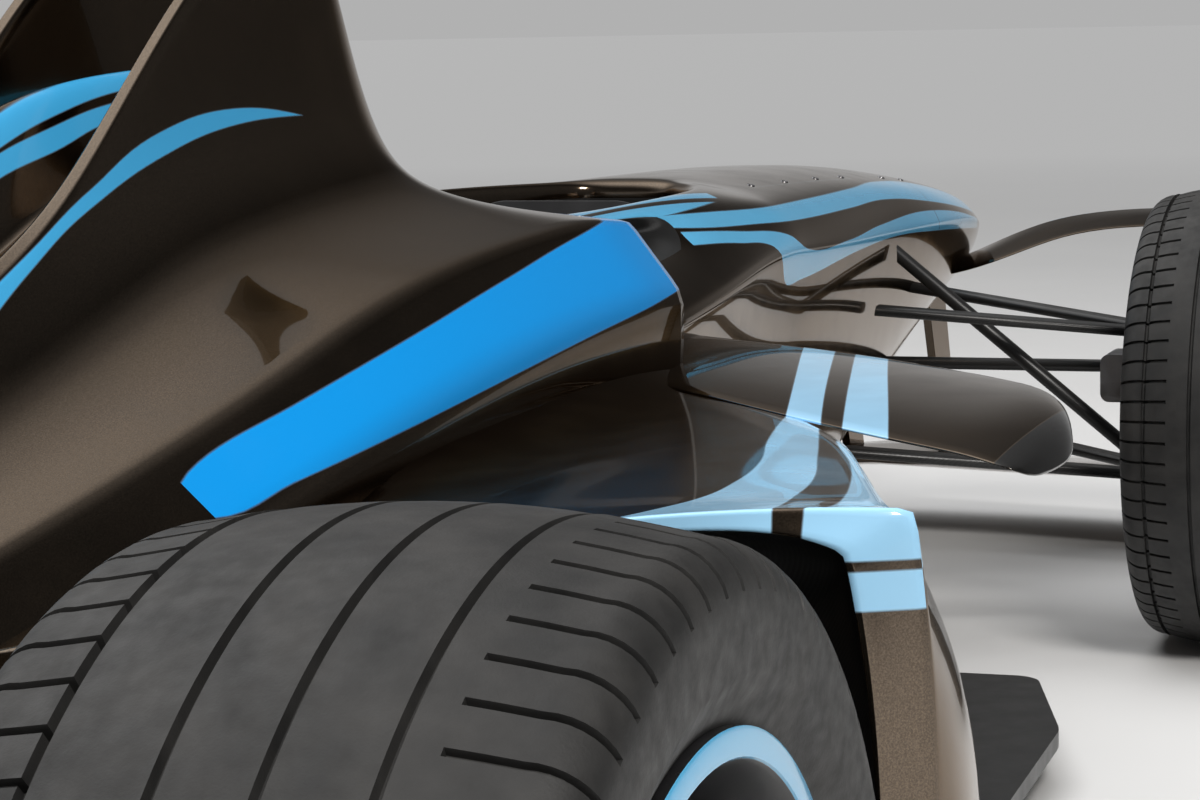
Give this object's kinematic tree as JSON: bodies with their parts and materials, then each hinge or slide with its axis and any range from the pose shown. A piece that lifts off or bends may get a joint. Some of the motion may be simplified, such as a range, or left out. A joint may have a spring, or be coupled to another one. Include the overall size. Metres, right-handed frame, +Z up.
{
  "type": "open wheel racing car",
  "caption": "Single seat open wheel racing car with front and rear wings, flared sidepods, treaded tyres, spinning wheels and linked steering.",
  "frame": {"origin": "on the ground at the middle of the overall length and width", "axes": "+X forward, +Y to the car's left, +Z up"},
  "size_m": [5, 1.8, 1.05],
  "materials": {
    "bodywork": "gloss metallic bronze black with light blue stripes",
    "carbon": "satin black composite",
    "tyre": "matt black rubber",
    "rim": "satin black with a sky blue rim ring",
    "disc": "turned steel",
    "steel": "ground steel",
    "alloy": "machined alloy",
    "casing": "cast and painted dark",
    "lamp": "red lens",
    "dark_plastic": "moulded black",
    "padding": "dark padded cover"
  },
  "bodies": {
    "chassis": {"battery_block": "casing", "camera_pod": "dark_plastic", "crash_structure": "carbon", "diffuser": "carbon", "engine_cover": "bodywork", "floor": "carbon", "front_wing": "bodywork", "front_wing_endplates": "bodywork", "front_wing_upper_plane": "bodywork", "front_wishbones": "carbon", "gearbox": "casing", "headrest": "padding", "hoop_fairing": "bodywork", "monocoque": "bodywork", "nose_cone": "bodywork", "pushrods": "carbon", "rain_light": "lamp", "rear_uprights": "alloy", "rear_wing": "bodywork", "rear_wing_endplates": "bodywork", "rear_wing_pylons": "carbon", "rear_wishbones": "carbon", "seat": "dark_plastic", "sidepod_left": "bodywork", "sidepod_right": "bodywork", "sidepod_vanes": "bodywork", "steering_column": "carbon"},
    "knuckle_left": {"front_upright_left": "alloy"},
    "knuckle_right": {"front_upright_right": "alloy"},
    "wheel_front_left": {"disc_front_left": "disc", "rim_front_left": "rim", "tyre_front_left": "tyre"},
    "wheel_front_right": {"disc_front_right": "disc", "rim_front_right": "rim", "tyre_front_right": "tyre"},
    "wheel_rear_left": {"disc_rear_left": "disc", "rim_rear_left": "rim", "tyre_rear_left": "tyre", "driveshaft_left": "steel"},
    "wheel_rear_right": {"disc_rear_right": "disc", "rim_rear_right": "rim", "tyre_rear_right": "tyre", "driveshaft_right": "steel"},
    "rack": {"track_rods": "carbon"},
    "hand_wheel": {"steering_wheel": "dark_plastic"}
  },
  "joints": [
    {"name": "steer_left", "type": "hinge", "parent": "chassis", "child": "knuckle_left", "pos_m": [1.47, 0.66, 0.32], "axis": [0, 0, 1], "range_deg": [-20, 20]},
    {"name": "steer_right", "type": "hinge", "parent": "chassis", "child": "knuckle_right", "pos_m": [1.47, -0.66, 0.32], "axis": [0, 0, 1], "range_deg": [-20, 20]},
    {"name": "rack_slide", "type": "slide", "parent": "chassis", "child": "rack", "axis": [0, 1, 0], "range_m": [-0.0385, 0.0385]},
    {"name": "hand_wheel_turn", "type": "hinge", "parent": "chassis", "child": "hand_wheel", "pos_m": [0.66, 0, 0.59], "axis": [-0.9397, 0, 0.342], "range_deg": [-141, 141]},
    {"name": "spin_front_left", "type": "hinge", "parent": "knuckle_left", "child": "wheel_front_left", "pos_m": [1.47, 0.715, 0.32], "axis": [0, 1, 0], "continuous": true},
    {"name": "spin_front_right", "type": "hinge", "parent": "knuckle_right", "child": "wheel_front_right", "pos_m": [1.47, -0.715, 0.32], "axis": [0, 1, 0], "continuous": true},
    {"name": "spin_rear_left", "type": "hinge", "parent": "chassis", "child": "wheel_rear_left", "pos_m": [-1.63, 0.75, 0.34], "axis": [0, 1, 0], "continuous": true},
    {"name": "spin_rear_right", "type": "hinge", "parent": "chassis", "child": "wheel_rear_right", "pos_m": [-1.63, -0.75, 0.34], "axis": [0, 1, 0], "continuous": true}
  ],
  "couplings": [
    {"joint": "steer_right", "follows": "steer_left", "ratio": 1},
    {"joint": "rack_slide", "follows": "steer_left", "m_per_rad": 0.11},
    {"joint": "hand_wheel_turn", "follows": "steer_left", "ratio": 7}
  ]
}
